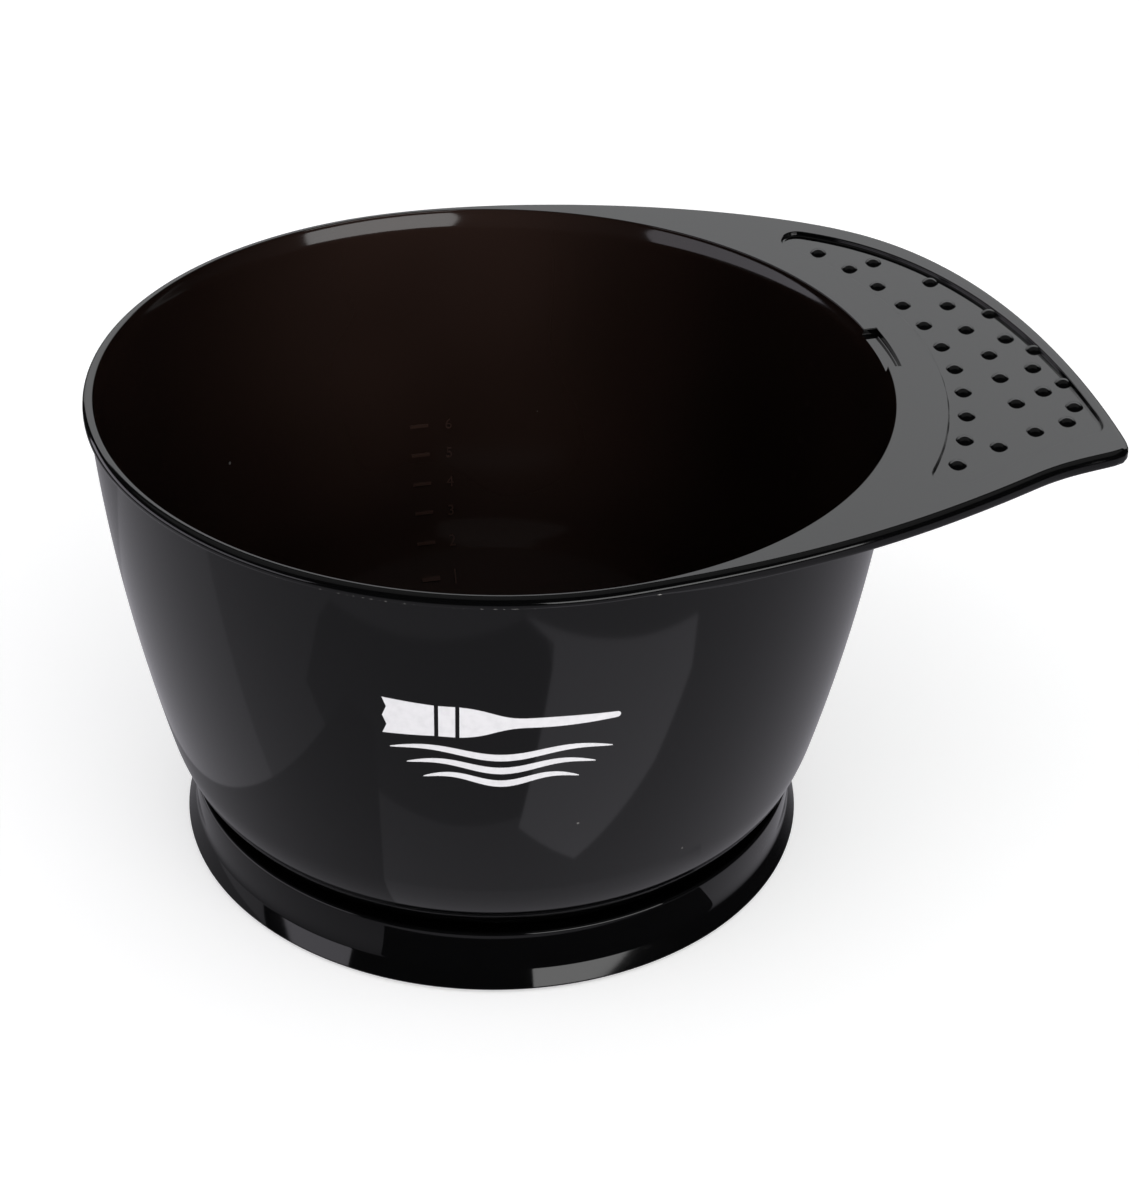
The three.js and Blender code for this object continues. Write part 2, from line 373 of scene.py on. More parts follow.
def wall_line(grow, steps=30):
    """The wall from under the bead down to the corner, grown outwards by a distance."""
    s = settings("vessel")
    top_draft, corner_draft = math.degrees(s.top_draft), math.degrees(s.corner_draft)
    top = (RIM_RADIUS - s.bead_step + grow, HEIGHT - s.bead_height)
    bottom = polar((s.corner_reach, s.corner_height), -corner_draft, s.corner_radius + grow)
    pull = (top[1] - bottom[1]) / 3
    upper = polar(top, 270 - top_draft, pull)
    lower = polar(bottom, 90 - corner_draft, pull)
    return bezier(top, upper, lower, bottom, steps)


def corner_line(grow, first, last, steps):
    """The corner between wall and floor, from one angle below level to another, in degrees."""
    s = settings("vessel")
    centre, start = (s.corner_reach, s.corner_height), math.degrees(s.corner_draft)
    line = []
    for i in range(steps + 1):
        below = first + (last - first) * i / steps
        swell = math.sin(math.pi * (below - start) / (90 - start)) ** 2 if grow >= 0 else 0
        line.append(polar(centre, -below, s.corner_radius + grow + s.corner_fullness * swell))
    return line


def corner_angle(radius, grow):
    """How far below level the corner passes a distance from the axis, in degrees."""
    s = settings("vessel")
    return math.degrees(math.acos((radius - s.corner_reach) / (s.corner_radius + grow)))


def vessel_section():
    """The bowl's section from the axis underneath, out over the rim and back inside."""
    s = settings("vessel")
    draft = math.degrees(s.corner_draft)
    floor = s.corner_height - s.corner_radius
    rib_foot = BOWL_LOW.z + s.rib_round
    lip = RIM_RADIUS - s.lip_width
    under = HEIGHT - s.bead_height
    rib_in, rib_out = corner_angle(s.rib_inner, 0), corner_angle(s.rib_outer, 0)
    inside = [p for p in wall_line(-s.wall) if p[1] < HEIGHT - s.flare]
    flare_top = (lip, HEIGHT - s.lip_round)
    flare = bezier(
        flare_top,
        (lip - 0.05 * MM, flare_top[1] - s.flare * 0.25),
        (inside[0][0] + 0.15 * MM, inside[0][1] + s.flare * 0.45),
        inside[0],
        9,
    )
    return [
        (0, floor),
        (s.corner_reach / 2, floor),
        *corner_line(0, 90, rib_in, 5),
        *arc((s.rib_inner + s.rib_round, rib_foot), s.rib_round, 180, 270, 4),
        *arc((s.rib_outer - s.rib_round, rib_foot), s.rib_round, 270, 360, 4),
        *corner_line(0, rib_out, draft, 18),
        *wall_line(0)[-2::-1],
        *arc((RIM_RADIUS - s.lower_round, under + s.lower_round), s.lower_round, -90, 0, 4),
        *[
            (RIM_RADIUS - s.edge_across * (1 - x / MM), HEIGHT - s.edge_down * (1 - y / MM))
            for x, y in arc((0, 0), MM, 0, 90, 12)
        ],
        *arc((lip + s.lip_round, HEIGHT - s.lip_round), s.lip_round, 90, 180, 4)[:-1],
        *flare[:-1],
        *inside[:-1],
        *corner_line(-s.wall, draft, 90, 16),
        (s.corner_reach / 2, floor + s.wall),
        (0, floor + s.wall),
    ]


def handle_line():
    """The edge of the handle seen from above, from the front of the rim round to the back."""
    s = settings("vessel")
    front, back = -72.3, 109.9  # where the handle leaves the rim, in degrees round it
    start, end = polar((0, 0), front, RIM_RADIUS), polar((0, 0), back, RIM_RADIUS)
    middle = (80.5 * MM, -29.3 * MM)
    nose = (93.8 * MM, -22.2 * MM)
    tip = (95.45 * MM, -13.5 * MM)
    shoulder = (63.3 * MM, 55.15 * MM)
    steps = 400
    pieces = (
        (start, polar(start, front + 90, 25.9 * MM), polar(middle, 216.8, 24.8 * MM), middle),
        (middle, polar(middle, 36.8, 6.8 * MM), polar(nose, 206, 4 * MM), nose),
        (nose, polar(nose, 26, 3 * MM), polar(tip, -82.7, 5 * MM), tip),
        (tip, polar(tip, 97.3, 20.9 * MM), polar(shoulder, -31.4, 25.3 * MM), shoulder),
        (shoulder, polar(shoulder, 148.6, 21.5 * MM), polar(end, back - 90, 27.9 * MM), end),
    )
    line = [start]
    for piece in pieces:
        line += bezier(*piece, steps)[1:]
    return np.array(line)


def recess_line():
    """The edge of the grip recess seen from above."""
    radius = settings("handle").recess_arc
    along_rim = arc((0, 0), radius, -23.5, 45, 70)
    first, last = along_rim[0], along_rim[-1]

    def mm(*values):
        return [(values[i] * MM, values[i + 1] * MM) for i in range(0, len(values), 2)]

    a, b = mm(49.8, 56.2, 53.4, 55.2)
    c, d, e = mm(77.8, 47.4, 88.7, 16.9, 93, -8)
    f, g, h = mm(94.2, -14, 94, -15.4, 90, -17.2)
    i, j, k = mm(84, -19.6, 77.5, -26, 70.5, -31.2)
    m, n = mm(67.2, -33, 63.6, -32.4)
    end = (last[0] - 1.6 * MM, last[1] + 1.6 * MM)
    return [
        *along_rim,
        *bezier(last, end, a, b, 12)[1:],
        *bezier(b, c, d, e, 60)[1:],
        *bezier(e, f, g, h, 12)[1:],
        *bezier(h, i, j, k, 24)[1:],
        *bezier(k, m, n, first, 12)[1:-1],
    ]


def shifted(outline, distance):
    """A closed anticlockwise outline moved outwards along its own normals."""
    points = np.array(outline)
    ahead, behind = np.roll(points, -1, 0) - points, points - np.roll(points, 1, 0)
    ahead /= np.linalg.norm(ahead, axis=1)[:, None]
    behind /= np.linalg.norm(behind, axis=1)[:, None]
    along = ahead + behind
    along /= np.linalg.norm(along, axis=1)[:, None]
    reach = distance / np.clip((along * ahead).sum(1), 0.5, 1)
    return points + np.c_[along[:, 1], -along[:, 0]] * reach[:, None]


def dome_places():
    """Where the grip domes stand: one row along the rim, and freer rows outside it."""
    row = settings("handle").dome_row
    inner = [polar((0, 0), 40.7 - 6.04 * i, row) for i in range(11)]
    middle = [(75.2, 28.2), (77, 19.5), (79.4, 10.7), (79.9, 2.9), (81.1, -5.4)]
    outer = [(64.7, 44.2), (73.5, 36.8), (81.8, 25.3), (87, 12.5), (89.7, 1.3), (90, -6.4)]
    between = [(83, 16.4), (85.7, 6.3), (86, -1.5)]
    front = [(88, -11.2), (82.5, -14.3), (76.1, -19.1)]
    return inner + [(x * MM, y * MM) for x, y in middle + outer + between + front]


# ---- the bowl's parts -----------------------------------------------------------------------


def draw_out_handle(piece):
    """Moves the rows of the bead out to the edge of the handle."""
    s, h = settings("vessel"), settings("handle")
    line = handle_line()
    along = np.gradient(line, axis=0)
    along /= np.linalg.norm(along, axis=1)[:, None]
    outwards = np.c_[along[:, 1], -along[:, 0]]
    turn = np.unwrap(np.arctan2(line[:, 1], line[:, 0]))

    count = len(piece.data.vertices)
    co = np.zeros(count * 3, np.float32)
    piece.data.vertices.foreach_get("co", co)
    co = co.reshape(-1, 3).astype(float)
    x, y, z = co[:, 0] - AXIS.x, co[:, 1] - AXIS.y, co[:, 2]
    radius, phi = np.hypot(x, y), np.arctan2(y, x)

    inset = radius - RIM_RADIUS
    tiny = MM / 200
    under = HEIGHT - s.bead_height
    on_handle = (phi > turn[0]) & (phi < turn[-1])
    rim_rows = (z > under - tiny) & (inset > -s.edge_across - tiny) & on_handle
    wall_top = rim_rows & (abs(inset + s.bead_step) < tiny) & (z < under + tiny)
    edge_rows = rim_rows & ~wall_top

    thick = smoothstep((phi - turn[0]) / h.swell) * smoothstep((turn[-1] - phi) / h.swell)
    plate = s.bead_height + (h.plate - s.bead_height) * thick
    side = HEIGHT - s.edge_down
    stretch = (plate - s.edge_down) / (s.bead_height - s.edge_down)
    lowered = np.where(z < side, side - (side - z) * stretch, z)
    for axis in (0, 1):
        edge = np.interp(phi, turn, line[:, axis])
        place = edge + inset * np.interp(phi, turn, outwards[:, axis])
        co[edge_rows, axis] = (place + AXIS[axis])[edge_rows]
    co[rim_rows, 2] = lowered[rim_rows]
    piece.data.vertices.foreach_set("co", co.astype(np.float32).ravel())
    piece.data.update()


def quarter(radius, steps):
    """Cosines and sines of a quarter turn's steps, times a radius."""
    angles = np.radians(np.linspace(0, 90, steps + 1))
    return [(radius * math.cos(a), radius * math.sin(a)) for a in angles]


def pocket_cutter(name, outline, depth, edge, fillet):
    """The solid that cuts a pocket with a rounded edge and a fillet round its floor."""
    floor = HEIGHT - depth
    rows = [(sine, HEIGHT - edge + cosine) for cosine, sine in quarter(edge, 5)]
    rows += [(edge + fillet - c, floor + fillet - d) for c, d in quarter(fillet, 5)]
    return prism(name, shifted(outline, edge), HEIGHT + MM, rows)


def grip_domes():
    """The domes on the recess floor, one modelled and the rest copied from it."""
    h = settings("handle")
    floor = HEIGHT - h.recess_depth
    ball = (h.dome_radius**2 + h.dome_height**2) / (2 * h.dome_height)
    bpy.ops.mesh.primitive_uv_sphere_add(segments=40, ring_count=40, radius=ball)
    first = bpy.context.object
    edit(first)
    cut = (0, 0, ball - h.dome_height - 0.4 * MM)  # a little of it stays below the floor
    bpy.ops.mesh.bisect(
        plane_co=cut, plane_no=(0, 0, 1), use_fill=True, clear_inner=True, threshold=MERGE
    )
    done()
    first.data.transform(Matrix.Translation((0, 0, floor + h.dome_height - ball)))
    parts = []
    for x, y in dome_places():
        part = first.copy()
        part.data = first.data.copy()
        bpy.context.collection.objects.link(part)
        part.data.transform(Matrix.Translation((AXIS.x + x, AXIS.y + y, 0)))
        parts.append(part)
    bpy.data.objects.remove(first, do_unlink=True)
    return joined("domes", parts)


def notch_line():
    """The brush notch seen from above."""
    h, s = settings("handle"), settings("vessel")
    first, last = math.degrees(h.notch_from), math.degrees(h.notch_to)
    inside = RIM_RADIUS - s.lip_width - 3 * s.wall
    return arc((0, 0), h.notch_reach, first, last, 16) + arc((0, 0), inside, last, first, 16)


def skin(name, lines, below, above):
    """A thin shell that follows the wall, from below its surface to above it."""
    section = lines(below) + lines(above)[::-1]
    return turned(name, section, settings("vessel").turns)


def facing_in(place, height, radius):
    """The placing of something flat that faces the axis from inside the wall."""
    out = Vector((math.cos(place), math.sin(place), 0))
    right = Vector((math.sin(place), -math.cos(place), 0))
    up = Vector((0, 0, 1))
    spot = AXIS + out * radius + up * height
    turn = Matrix((right, up, -out)).transposed().to_4x4()
    return Matrix.Translation(spot) @ turn


def volume_scale():
    """Raised marks inside the wall and a figure beside each."""
    m, s = settings("scale"), settings("vessel")
    reach = RIM_RADIUS - 12 * MM
    parts = []
    for i in range(m.count):
        height = m.lowest + i * m.step
        bpy.ops.mesh.primitive_cube_add(size=1)
        mark = bpy.context.object
        mark.scale = (m.mark_length, m.mark_height, BODY_DEPTH)
        place_applied(mark)
        mark.data.transform(facing_in(m.mark_place, height, reach))
        parts.append(mark)
        bpy.ops.object.text_add()
        text = bpy.context.object
        text.data.body = str(i + 1)
        text.data.size = m.figure_height * 1.4
        text.data.extrude = BODY_DEPTH / 2
        text.data.align_x = "CENTER"
        text.data.align_y = "CENTER"
        bpy.ops.object.convert(target="MESH")
        figure = bpy.context.object
        figure.data.transform(facing_in(m.figure_place, height, reach))
        edit(figure)
        closed()
        parts.append(figure)
    scale = joined("volume_scale", parts)

    def inner(grow):
        line = wall_line(grow - s.wall)[6:]
        return line[:-1] + corner_line(grow - s.wall, math.degrees(s.corner_draft), 62, 10)

    combine(scale, skin("inner_skin", inner, -m.proud, s.wall / 2), "INTERSECT")
    return scale


def paint_inside(piece):
    """Gives the faces inside the bowl the second material, which carries the painted glow, and the
    raised marks the third, a lighter copy with a painted highlight.
    """
    s, m = settings("vessel"), settings("scale")
    wall = wall_line(-s.wall, 60)
    wall += corner_line(-s.wall, math.degrees(s.corner_draft), 80, 30)[1:]
    wall = np.array(wall[::-1])
    middle = np.array(wall_line(-s.wall / 2, 60)[::-1])
    rim_inside = RIM_RADIUS - s.lip_width + 0.05 * MM
    for face in piece.data.polygons:
        x, y, z = face.center - AXIS
        radius = math.hypot(x, y)
        drop = s.corner_height - z
        if z > middle[0, 1]:
            inside = radius < np.interp(z, middle[:, 1], middle[:, 0]) and z < HEIGHT - s.lip_round
            inside = inside or (radius < rim_inside and z > HEIGHT - s.flare)
        elif radius < s.corner_reach:
            inside = z > s.corner_height - s.corner_radius + s.wall / 2
        else:
            inside = math.hypot(radius - s.corner_reach, drop) < s.corner_radius - s.wall / 2
        raised = abs(math.atan2(y, x) - (m.mark_place + m.figure_place) / 2) < 0.1
        raised = raised and radius < np.interp(z, wall[:, 1], wall[:, 0]) - m.proud * 0.35
        raised = raised and m.lowest - 2 * MM < z < m.lowest + m.count * m.step
        face.material_index = int(inside) + int(inside and raised)


def make_bowl():
    """The bowl with its bead, handle, grip recess, domes, notch and volume scale."""
    s, h = settings("vessel"), settings("handle")
    piece = turned("mixing_bowl", vessel_section(), s.turns, open_ends=True)
    draw_out_handle(piece)

    recess = recess_line()
    pad_edge = shifted(recess, h.pad_margin)
    underside = HEIGHT - h.plate
    pad_bottom = HEIGHT - h.recess_depth - h.recess_floor
    r = 0.4 * MM  # rounding of the pad's lower edge
    pad_rows = [(r - c, pad_bottom + r - d) for c, d in quarter(r, 4)]
    combine(piece, prism("pad", pad_edge, underside + 0.5 * MM, pad_rows), "UNION")
    cutter = pocket_cutter("recess", recess, h.recess_depth, h.recess_round, h.recess_fillet)
    combine(piece, cutter, "DIFFERENCE")
    combine(piece, grip_domes(), "UNION")
    notch = pocket_cutter("notch", notch_line(), h.notch_depth, 0.15 * MM, 0.2 * MM)
    combine(piece, notch, "DIFFERENCE")
    combine(piece, volume_scale(), "UNION")
    # the raised marks get the painted glow 2.2 times lighter, a painted highlight that sets them
    # off against the wall
    marks = painted_glow_inside("raised_marks_painted_highlight", 2.2)
    finished(piece, (gloss_black(), painted_glow_inside(), marks), "bowl")
    paint_inside(piece)


def make_foot_ring():
    """The flared foot, with its ledge, its collar on the rib and the rubber's groove."""
    f, s = settings("foot"), settings("vessel")
    web = f.gap + f.wall
    inside = f.ledge_radius - f.wall
    collar = s.rib_outer + f.gap
    low = FOOT_LOW.z
    rib_low = BOWL_LOW.z
    groove_in, groove_out = GRIP_INNER - f.gap, GRIP_OUTER + f.gap
    groove_top = GRIP_HIGH.z + f.gap
    toe, slope = (FOOT_RADIUS - f.toe, low + f.toe), math.degrees(f.flare_slope)
    edge = (f.ledge_radius - f.ledge_round, f.ledge_height - f.ledge_round)
    flare = polar((FOOT_RADIUS, low + f.toe), 90 + slope, f.flare_length)
    skirt = bezier(
        flare,
        polar(flare, 90 + slope, 1.0 * MM),
        (f.ledge_radius + 0.1 * MM, flare[1] + 2.4 * MM),
        (f.ledge_radius, f.ledge_height - f.ledge_round),
        20,
    )
    section = [
        *arc(toe, f.toe, -90, 0, 4)[:-1],
        *arc(toe, f.toe, 0, slope, 2)[:-1],
        *skirt,
        *arc(edge, f.ledge_round, 0, 90, 6)[1:],
        *corner_line(f.gap, corner_angle(f.ledge_inner, f.gap), corner_angle(collar, f.gap), 8),
        (collar, rib_low),
        (collar + f.wall, rib_low),
        *corner_line(web, corner_angle(collar + f.wall, web), corner_angle(inside, web), 8),
        (inside, f.flange_top),
        (f.flange_inner, f.flange_top),
        (f.flange_inner, low),
        (groove_in, low),
        (groove_in, groove_top),
        (groove_out, groove_top),
        (groove_out, low),
    ]
    piece = turned("flared_foot_ring", section, f.turns)
    finished(piece, (gloss_foot(),), "foot_ring")


def make_grip_ring():
    """The rubber ring that the foot stands on, with a round groove in its underside."""
    f = settings("foot")
    r, groove = f.grip_round, 0.3 * MM
    inner, outer, top = GRIP_INNER + r, GRIP_OUTER - r, GRIP_HIGH.z - r
    section = [
        *arc((outer, r), r, -90, 0, 4),
        *arc((outer, top), r, 0, 90, 4),
        *arc((inner, top), r, 90, 180, 4),
        *arc((inner, r), r, 180, 270, 4),
        *arc(((GRIP_INNER + GRIP_OUTER) / 2, 0), groove, 180, 0, 8),
    ]
    piece = turned("rubber_foot_grip", section, f.turns)
    finished(piece, (matte_rubber(),), "rubber_grip_ring")


def strand_line(left, right, height, wave, width, steps=36):
    """A wavy strand that thins out to its ends, as a closed outline."""
    upper, lower = [], []
    for i in range(steps + 1):
        t = i / steps
        x = left + (right - left) * t
        z = height + wave * math.sin(math.tau * 1.5 * t)
        half = width / 2 * math.sqrt(math.sin(math.pi * min(max(t, 0.004), 0.996)))
        upper.append((x, z + half))
        lower.append((x, z - half))
    return lower + upper[::-1]


def brush_lines(size):
    """The outlines of a flat tint brush lying on its side, its hairs to the left."""
    q = size / 34
    hairs = [(-17, -3.4), (-9.6, -2.9), (-9.6, 2.9), (-17, 3.4)]
    hairs += [(-16.4, 1.7), (-17, 0), (-16.4, -1.7)]
    band = [(-9.0, -2.9), (-6.6, -2.9), (-6.6, 2.9), (-9.0, 2.9)]
    grip = bezier((-6.0, -2.9), (-1.5, -2.6), (-0.5, -0.9), (3.5, -0.9), 12)
    grip += bezier((3.5, -0.9), (9, -1.0), (13, -0.75), (16.4, -0.55), 8)[1:]
    grip += arc((16.4, 0), 0.55, -90, 90, 8)[1:]
    grip += bezier((16.4, 0.55), (13, 0.75), (9, 1.0), (3.5, 0.9), 8)[1:]
    grip += bezier((3.5, 0.9), (-0.5, 0.9), (-1.5, 2.6), (-6.0, 2.9), 12)[1:]
    return [[(x * q, z * q) for x, z in line] for line in (hairs, band, grip)]


def make_printed_mark():
    """A plain pictogram of a tint brush over three strands of hair, printed on the front."""
    p = settings("printed")
    outlines = [[(x, z + 4.4 * MM) for x, z in line] for line in brush_lines(p.brush_length)]
    for i in range(3):
        reach = p.brush_length * (0.47 - 0.07 * i)
        outlines.append(strand_line(-reach, reach, -2.6 * MM * (i + 0.6), 0.8 * MM, p.strand))
    parts = []
    back, front = -40 * MM, -75 * MM
    for i, line in enumerate(outlines):
        points = [(AXIS.x + p.across + x, AXIS.y + front, p.up + z) for x, z in line]
        part = loop(f"ink_{i}", points, filled=True)
        edit(part)
        bpy.ops.mesh.select_mode(type="FACE")
        bpy.ops.mesh.extrude_region_move(TRANSFORM_OT_translate={"value": (0, back - front, 0)})
        closed()
        parts.append(part)
    piece = joined("printed_brush_mark", parts)
    combine(piece, skin("ink_skin", wall_line, -0.05 * MM, p.thickness), "INTERSECT")
    finished(piece, (printed_ink(),))


# ---- shared effects -------------------------------------------------------------------------


class Nodes:
    """Short calls for adding and linking nodes in one tree."""

    def __init__(self, tree):
        self.tree = tree

    def add(self, kind, **values):
        node = self.tree.nodes.new("ShaderNode" + kind)
        for key, value in values.items():
            setattr(node, key, value)
        return node

    def link(self, source, target):
        self.tree.links.new(source, target)

    def give(self, given, socket):
        """Links a socket to another, or sets it to a number or a colour."""
        if isinstance(given, bpy.types.NodeSocket):
            self.link(given, socket)
        else:
            socket.default_value = given

    def value(self, operation, *inputs):
        """A Math node's output; inputs are numbers or sockets."""
        node = self.add("Math", operation=operation)
        for given, socket in zip(inputs, node.inputs):
            self.give(given, socket)
        return node.outputs[0]

    def spread(self, source, *limits):
        """A smooth Map Range's output; limits are from low and high, then to low and high."""
        node = self.add("MapRange", interpolation_type="SMOOTHSTEP")
        for given, socket in zip((source, *limits), node.inputs):
            self.give(given, socket)
        return node.outputs["Result"]

    def noise(self, place, scale, detail):
        """A noise's output; scale is a number or a socket."""
        node = self.add("TexNoise", noise_dimensions="3D")
        for name, given in (("Vector", place), ("Scale", scale), ("Detail", detail)):
            self.give(given, node.inputs[name])
        return node.outputs["Fac"]

    def mix(self, factor, a, b):
        """A colour mix; a and b are colours or sockets."""
        node = self.add("Mix", data_type="RGBA")
        self.link(factor, node.inputs["Factor"])
        for given, socket in ((a, node.inputs[6]), (b, node.inputs[7])):
            self.give(given if isinstance(given, bpy.types.NodeSocket) else (*given, 1), socket)
        return node.outputs[2]


def effect_group(name, inputs, build):
    """A shader node group with float inputs and one float output, built once."""
    found = bpy.data.node_groups.get(name)
    if found:
        return found
    group = bpy.data.node_groups.new(name, "ShaderNodeTree")
    group.interface.new_socket("Vector", in_out="INPUT", socket_type="NodeSocketVector")
    for label, default in inputs:
        socket = group.interface.new_socket(label, in_out="INPUT", socket_type="NodeSocketFloat")
        socket.default_value = default
    group.interface.new_socket("Amount", in_out="OUTPUT", socket_type="NodeSocketFloat")
    nodes = Nodes(group)
    entry, leave = group.nodes.new("NodeGroupInput"), group.nodes.new("NodeGroupOutput")
    nodes.link(build(nodes, entry.outputs), leave.inputs["Amount"])
    return group


def mould_ripple():
    """Long shallow waves and a fine grain, as left by a polished mould."""

    def build(n, given):
        waves = n.noise(given["Vector"], given["Wave Scale"], 1)
        grain = n.noise(given["Vector"], given["Grain Scale"], 2)
        return n.value("MULTIPLY_ADD", grain, given["Grain Height"], waves)

    inputs = (("Wave Scale", 45), ("Grain Scale", 1500), ("Grain Height", 0.02))
    return effect_group("mould_ripple", inputs, build)


def dust_specks():
    """Small scattered specks; Amount is 1 on a speck."""

    def build(n, given):
        cells = n.add("TexVoronoi", voronoi_dimensions="3D")
        n.link(given["Vector"], cells.inputs["Vector"])
        n.link(given["Scale"], cells.inputs["Scale"])
        pick = n.add("SeparateColor")
        n.link(cells.outputs["Color"], pick.inputs["Color"])
        chosen = n.value("GREATER_THAN", pick.outputs["Red"], given["Sparseness"])
        size = n.value("MULTIPLY", pick.outputs["Green"], given["Size"])
        spot = n.value("LESS_THAN", cells.outputs["Distance"], size)
        return n.value("MULTIPLY", chosen, spot)

    inputs = (("Scale", 260), ("Sparseness", 0.93), ("Size", 0.07))
    return effect_group("dust_specks", inputs, build)


def rubbed_edge():
    """Broken pale nicks along a level ring; Radius, Height and Width are in metres."""

    def build(n, given):
        part = n.add("SeparateXYZ")
        n.link(given["Vector"], part.inputs["Vector"])
        off = n.value("ABSOLUTE", n.value("SUBTRACT", part.outputs["Z"], given["Height"]))
        across = n.value("SUBTRACT", part.outputs["X"], AXIS.x)
        along = n.value("SUBTRACT", part.outputs["Y"], AXIS.y)
        square = n.value("MULTIPLY_ADD", across, across, n.value("MULTIPLY", along, along))
        aside = n.value("ABSOLUTE", n.value("SUBTRACT", n.value("SQRT", square), given["Radius"]))
        near = n.value("LESS_THAN", n.value("MAXIMUM", off, aside), given["Width"])
        fine = n.value("GREATER_THAN", n.noise(given["Vector"], 1400, 3), given["Rarity"])
        coarse = n.value("GREATER_THAN", n.noise(given["Vector"], 60, 1), 0.5)
        return n.value("MULTIPLY", near, n.value("MULTIPLY", fine, coarse))

    inputs = (("Radius", RIM_RADIUS), ("Height", 0.0), ("Width", 0.0001), ("Rarity", 0.6))
    return effect_group("rubbed_edge", inputs, build)


def hairlines():
    """Fine long scratches in a few directions; Amount is 1 in a scratch."""

    def build(n, given):
        total = None
        for turn in (0.4, 1.9, 2.7):
            spin = n.add("Mapping")
            spin.inputs["Rotation"].default_value = (turn, turn * 0.7, turn * 1.3)
            spin.inputs["Scale"].default_value = (14, 420, 420)
            n.link(given["Vector"], spin.inputs["Vector"])
            noise = n.noise(spin.outputs["Vector"], 1, 1)
            off = n.value("ABSOLUTE", n.value("SUBTRACT", noise, 0.62))
            line = n.value("LESS_THAN", off, given["Width"])
            total = line if total is None else n.value("MAXIMUM", total, line)
        return total

    return effect_group("hairlines", (("Width", 0.0012),), build)


# ---- materials ------------------------------------------------------------------------------


def new_material(name, **shader):
    """A material with a plain shader, its nodes and its Object coordinates."""
    material = bpy.data.materials.new(name)
    material.use_nodes = True
    nodes = Nodes(material.node_tree)
    body = material.node_tree.nodes["Principled BSDF"]
    for label, given in shader.items():
        body.inputs[label.replace("_", " ")].default_value = given
    place = nodes.add("TexCoord").outputs["Object"]
    return material, nodes, body, place


def use(nodes, group, place, **values):
    """Places an effect group with its own values and returns its output."""
    node = nodes.add("Group", node_tree=group)
    nodes.link(place, node.inputs["Vector"])
    for label, given in values.items():
        node.inputs[label.replace("_", " ")].default_value = given
    return node.outputs["Amount"]


def ripple(nodes, place, wave, grain, height):
    """The mould's ripple with its waves' and grain's scales and the grain's height."""
    scales = {"Wave_Scale": wave, "Grain_Scale": grain, "Grain_Height": height}
    return use(nodes, mould_ripple(), place, **scales)


def bump(nodes, body, height, distance):
    """Feeds a height into the shader's normal; distance is the relief for a height of 1."""
    node = nodes.add("Bump")
    node.inputs["Strength"].default_value = 1
    node.inputs["Distance"].default_value = distance
    nodes.link(height, node.inputs["Height"])
    nodes.link(node.outputs["Normal"], body.inputs["Normal"])


def gloss_black():
    """Polished black plastic with dust, nicked rim edges and the mould's faint ripple."""
    f, s = settings("finish"), settings("vessel")
    material, n, body, place = new_material("gloss_black_plastic", IOR=1.47)
    dust = use(n, dust_specks(), place, Scale=300, Sparseness=0.955, Size=0.075)
    under = HEIGHT - s.bead_height
    edge = rubbed_edge()
    nick = use(n, edge, place, Height=under + 0.05 * MM, Width=0.1 * MM, Rarity=0.6)
    lip = use(n, edge, place, Height=HEIGHT - s.lip_round, Width=0.06 * MM, Rarity=0.63)
    worn = n.value("MAXIMUM", nick, lip)
    pale = n.value("MAXIMUM", n.value("MULTIPLY", dust, 0.35), worn)
    n.link(n.mix(pale, tuple(f.black), tuple(f.dust)), body.inputs["Base Color"])
    line = use(n, hairlines(), place, Width=0.0010)
    rough = n.value("MULTIPLY_ADD", line, 0.05, f.gloss)
    n.link(n.value("MULTIPLY_ADD", pale, 0.5, rough), body.inputs["Roughness"])
    bump(n, body, ripple(n, place, 38, 1800, 0.006), 0.02 * MM)
    return material


def painted_glow_inside(name="brown_plastic_painted_glow", lift=1.0):
    """The same plastic seen inside the bowl, where the light that comes through is brown, painted
    into its colour as a painted glow: lighter higher up and towards the middle.
    """
    f = settings("finish")
    material, n, body, place = new_material(name, IOR=1.47)
    part = n.add("SeparateXYZ")
    n.link(place, part.inputs["Vector"])
    # painted glow: lighter higher up the wall, and lighter towards the middle than towards the left
    # and right sides
    painted_glow_by_height = n.spread(part.outputs["Z"], 15 * MM, 40 * MM, 0.8, 1.35)
    aside = n.value("ABSOLUTE", n.value("SUBTRACT", part.outputs["X"], AXIS.x - 9 * MM))
    glow = n.value("MULTIPLY", painted_glow_by_height, n.spread(aside, 10 * MM, 56 * MM, 1.0, 0.2))
    uneven = n.spread(n.noise(place, 22, 1), 0.3, 0.7, 0.8, 1.2)
    tint = n.add("VectorMath", operation="SCALE")
    tint.inputs[0].default_value = tuple(lift * part for part in f.painted_glow_brown)
    n.link(n.value("MULTIPLY", glow, uneven), tint.inputs["Scale"])
    dust = use(n, dust_specks(), place, Scale=240, Sparseness=0.97, Size=0.07)
    dust = n.value("MULTIPLY", dust, 0.3)
    n.link(n.mix(dust, tint.outputs[0], tuple(f.dust)), body.inputs["Base Color"])
    line = use(n, hairlines(), place, Width=0.0012)
    n.link(n.value("MULTIPLY_ADD", line, 0.06, f.gloss + 0.01), body.inputs["Roughness"])
    bump(n, body, ripple(n, place, 30, 1800, 0.008), 0.02 * MM)
    return material


